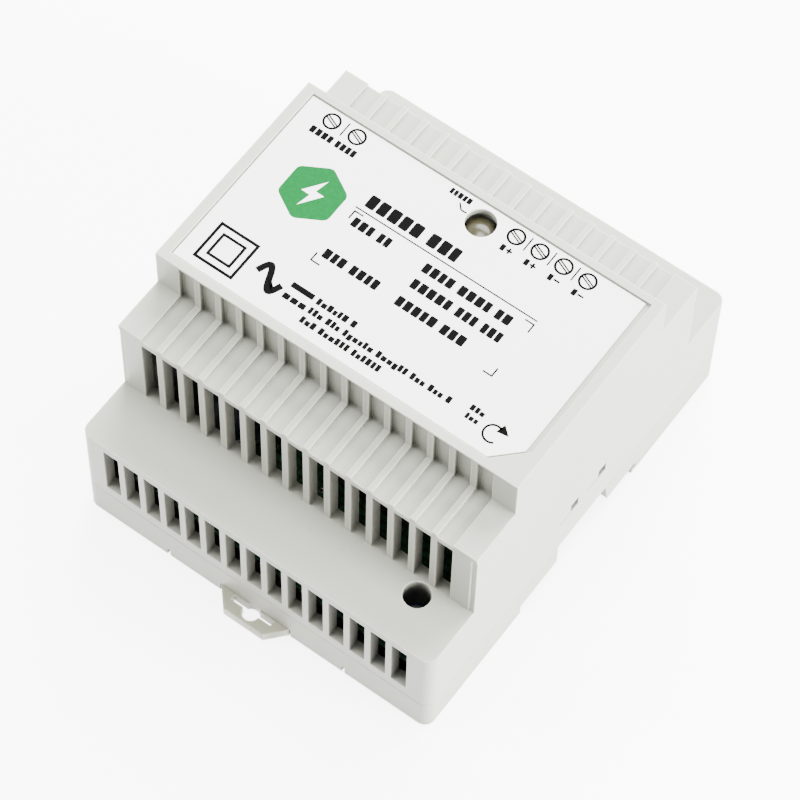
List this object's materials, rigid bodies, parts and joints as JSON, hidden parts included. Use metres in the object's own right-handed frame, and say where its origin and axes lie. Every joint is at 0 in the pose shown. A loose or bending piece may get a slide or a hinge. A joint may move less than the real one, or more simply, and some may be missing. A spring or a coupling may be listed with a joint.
{
  "type": "din rail power supply",
  "caption": "Stepped, vented plastic housing with a rail foot and sprung clip, screw terminals, trimmer and the switching supply inside.",
  "frame": {"origin": "middle of the rail seat: half way along the housing width, on the centreline of the rail, on the plane of the rail flanges", "axes": "+X along the rail, +Y across it towards the terminal side, +Z away from the rail to the label plateau"},
  "size_m": [0.078, 0.0967, 0.057],
  "materials": {
    "housing_grey": "fine moulded texture",
    "base_grey": "fine moulded texture",
    "clip_grey": "smooth moulded, slightly yellow",
    "spring_steel": "drawn wire",
    "label_white": "semi-gloss printed film",
    "board_green": "solder mask",
    "sheet_fibre": "insulating fibre sheet",
    "terminal_green": "moulded",
    "plated_steel": "zinc plated",
    "cage_steel": "plated",
    "brass_contact": "tinned brass",
    "trimmer_blue": "moulded",
    "rotor_white": "moulded",
    "led_lens": "smoky olive lens",
    "chip_black": "moulded epoxy",
    "fuse_glass": "clear tube",
    "thermistor_green": "lacquered disc",
    "varistor_blue": "lacquered disc",
    "xcap_yellow": "boxed film",
    "ycap_blue": "lacquered disc",
    "ferrite": "sintered ferrite",
    "enamel_copper": "enamelled wire",
    "capacitor_black": "shrink sleeve",
    "heatsink_aluminium": "extruded",
    "bobbin_black": "moulded",
    "winding_tape": "polyester tape",
    "capacitor_brown": "shrink sleeve",
    "choke_yellow": "painted powder core",
    "resistor_tan": "lacquered"
  },
  "bodies": {
    "housing": {"top_cover": "housing_grey", "base_plate": "base_grey", "clip_spring": "spring_steel", "label": "label_white", "pcb": "board_green", "insulation_sheet": "sheet_fibre", "pcb_screws": "plated_steel", "ac_terminal_block": "terminal_green", "dc_terminal_block": "terminal_green", "ac_contacts": "brass_contact", "dc_contacts": "brass_contact", "trimmer_body": "trimmer_blue", "control_board": "board_green", "led": "led_lens", "control_ic": "chip_black", "optocoupler": "chip_black", "fuse_tube": "fuse_glass", "fuse_caps": "plated_steel", "thermistor": "thermistor_green", "varistor": "varistor_blue", "x_capacitor": "xcap_yellow", "y_capacitors": "ycap_blue", "choke_core": "ferrite", "choke_windings": "enamel_copper", "bridge_rectifier": "chip_black", "bulk_capacitor": "capacitor_black", "primary_heatsink": "heatsink_aluminium", "mosfet": "chip_black", "mosfet_screw": "plated_steel", "transformer_core": "ferrite", "transformer_bobbin": "bobbin_black", "transformer_winding": "winding_tape", "output_heatsink": "heatsink_aluminium", "output_diode": "chip_black", "diode_screw": "plated_steel", "output_capacitors": "capacitor_brown", "output_choke_core": "choke_yellow", "output_choke_winding": "enamel_copper", "resistors": "resistor_tan"},
    "clip": {"rail_clip": "clip_grey"},
    "trimmer": {"trimmer_rotor": "rotor_white"},
    "ac_screw_1_body": {"ac_screw_1": "plated_steel"},
    "ac_cage_1_body": {"ac_cage_1": "cage_steel"},
    "ac_screw_2_body": {"ac_screw_2": "plated_steel"},
    "ac_cage_2_body": {"ac_cage_2": "cage_steel"},
    "dc_screw_1_body": {"dc_screw_1": "plated_steel"},
    "dc_cage_1_body": {"dc_cage_1": "cage_steel"},
    "dc_screw_2_body": {"dc_screw_2": "plated_steel"},
    "dc_cage_2_body": {"dc_cage_2": "cage_steel"},
    "dc_screw_3_body": {"dc_screw_3": "plated_steel"},
    "dc_cage_3_body": {"dc_cage_3": "cage_steel"},
    "dc_screw_4_body": {"dc_screw_4": "plated_steel"},
    "dc_cage_4_body": {"dc_cage_4": "cage_steel"}
  },
  "joints": [
    {"name": "clip_pull", "type": "slide", "parent": "housing", "child": "clip", "axis": [0, -1, 0], "range_m": [0, 0.0045], "stiffness_N_per_m": 1200, "springref_m": -0.003, "deforming": ["clip_spring"]},
    {"name": "trimmer_turn", "type": "hinge", "parent": "housing", "child": "trimmer", "pos_m": [0.02885, -0.03745, 0.0144], "axis": [0, 0, 1], "range_deg": [-135, 135]},
    {"name": "ac_screw_1_turn", "type": "hinge", "parent": "housing", "child": "ac_screw_1_body", "pos_m": [-0.0308, 0.0387, 0.0194], "axis": [0, 0, 1], "range_deg": [-1441, 0]},
    {"name": "ac_cage_1_rise", "type": "slide", "parent": "housing", "child": "ac_cage_1_body", "axis": [0, 0, 1], "range_m": [0, 0.002]},
    {"name": "ac_screw_2_turn", "type": "hinge", "parent": "housing", "child": "ac_screw_2_body", "pos_m": [-0.0248, 0.0387, 0.0194], "axis": [0, 0, 1], "range_deg": [-1441, 0]},
    {"name": "ac_cage_2_rise", "type": "slide", "parent": "housing", "child": "ac_cage_2_body", "axis": [0, 0, 1], "range_m": [0, 0.002]},
    {"name": "dc_screw_1_turn", "type": "hinge", "parent": "housing", "child": "dc_screw_1_body", "pos_m": [0.0098, 0.0387, 0.0194], "axis": [0, 0, 1], "range_deg": [-1441, 0]},
    {"name": "dc_cage_1_rise", "type": "slide", "parent": "housing", "child": "dc_cage_1_body", "axis": [0, 0, 1], "range_m": [0, 0.002]},
    {"name": "dc_screw_2_turn", "type": "hinge", "parent": "housing", "child": "dc_screw_2_body", "pos_m": [0.01488, 0.0387, 0.0194], "axis": [0, 0, 1], "range_deg": [-1441, 0]},
    {"name": "dc_cage_2_rise", "type": "slide", "parent": "housing", "child": "dc_cage_2_body", "axis": [0, 0, 1], "range_m": [0, 0.002]},
    {"name": "dc_screw_3_turn", "type": "hinge", "parent": "housing", "child": "dc_screw_3_body", "pos_m": [0.01996, 0.0387, 0.0194], "axis": [0, 0, 1], "range_deg": [-1441, 0]},
    {"name": "dc_cage_3_rise", "type": "slide", "parent": "housing", "child": "dc_cage_3_body", "axis": [0, 0, 1], "range_m": [0, 0.002]},
    {"name": "dc_screw_4_turn", "type": "hinge", "parent": "housing", "child": "dc_screw_4_body", "pos_m": [0.02504, 0.0387, 0.0194], "axis": [0, 0, 1], "range_deg": [-1441, 0]},
    {"name": "dc_cage_4_rise", "type": "slide", "parent": "housing", "child": "dc_cage_4_body", "axis": [0, 0, 1], "range_m": [0, 0.002]}
  ],
  "couplings": [
    {"joint": "ac_screw_1_turn", "follows": "ac_cage_1_rise", "rad_per_m": -12566},
    {"joint": "ac_screw_2_turn", "follows": "ac_cage_2_rise", "rad_per_m": -12566},
    {"joint": "dc_screw_1_turn", "follows": "dc_cage_1_rise", "rad_per_m": -12566},
    {"joint": "dc_screw_2_turn", "follows": "dc_cage_2_rise", "rad_per_m": -12566},
    {"joint": "dc_screw_3_turn", "follows": "dc_cage_3_rise", "rad_per_m": -12566},
    {"joint": "dc_screw_4_turn", "follows": "dc_cage_4_rise", "rad_per_m": -12566}
  ]
}
